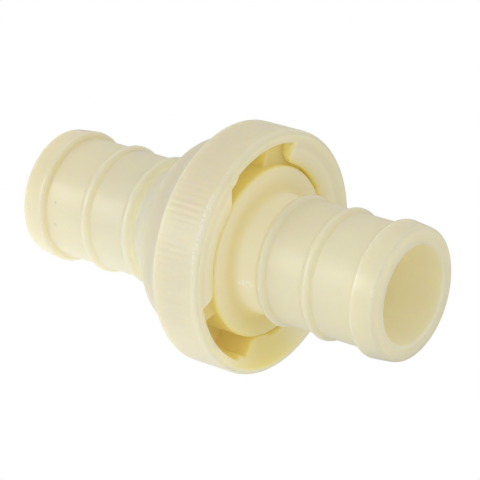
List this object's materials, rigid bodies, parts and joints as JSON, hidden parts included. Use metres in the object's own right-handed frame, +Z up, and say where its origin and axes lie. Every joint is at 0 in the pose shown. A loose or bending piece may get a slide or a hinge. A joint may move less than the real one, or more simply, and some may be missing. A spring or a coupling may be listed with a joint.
{
  "type": "in-line hose non-return fitting",
  "caption": "Straight moulded plastic hose connector with ribbed hose tails at both ends, joined by a knurled bayonet collar, with a spring-loaded non-return valve inside.",
  "frame": {"origin": "middle of the fitting's length, on its flow axis", "axes": "+X along the flow axis towards the inlet tail's mouth, +Z up with the first bayonet notch near the top"},
  "size_m": [0.0852, 0.0476, 0.0476],
  "materials": {
    "cream_moulding": "semi-gloss cream acetal, slightly translucent",
    "white_moulding": "satin white acetal",
    "black_rubber": "matt nitrile rubber",
    "stainless_steel": "drawn stainless steel"
  },
  "bodies": {
    "outlet": {"outlet_body": "cream_moulding", "stem_guide": "white_moulding", "return_spring": "stainless_steel"},
    "inlet": {"inlet_body": "cream_moulding", "body_o_ring": "black_rubber"},
    "valve": {"poppet": "white_moulding", "poppet_seal": "black_rubber", "seal_retainer": "white_moulding", "retainer_screw": "stainless_steel", "stem_clip": "stainless_steel"}
  },
  "joints": [
    {"name": "bayonet_twist", "type": "hinge", "parent": "outlet", "child": "inlet", "pos_m": [0, 0, 0], "axis": [1, 0, 0], "range_deg": [-19, 27]},
    {"name": "poppet_slide", "type": "slide", "parent": "outlet", "child": "valve", "axis": [-1, 0, 0], "range_m": [0, 0.0045], "stiffness_N_per_m": 500, "springref_m": -0.002, "deforming": ["return_spring"]}
  ]
}
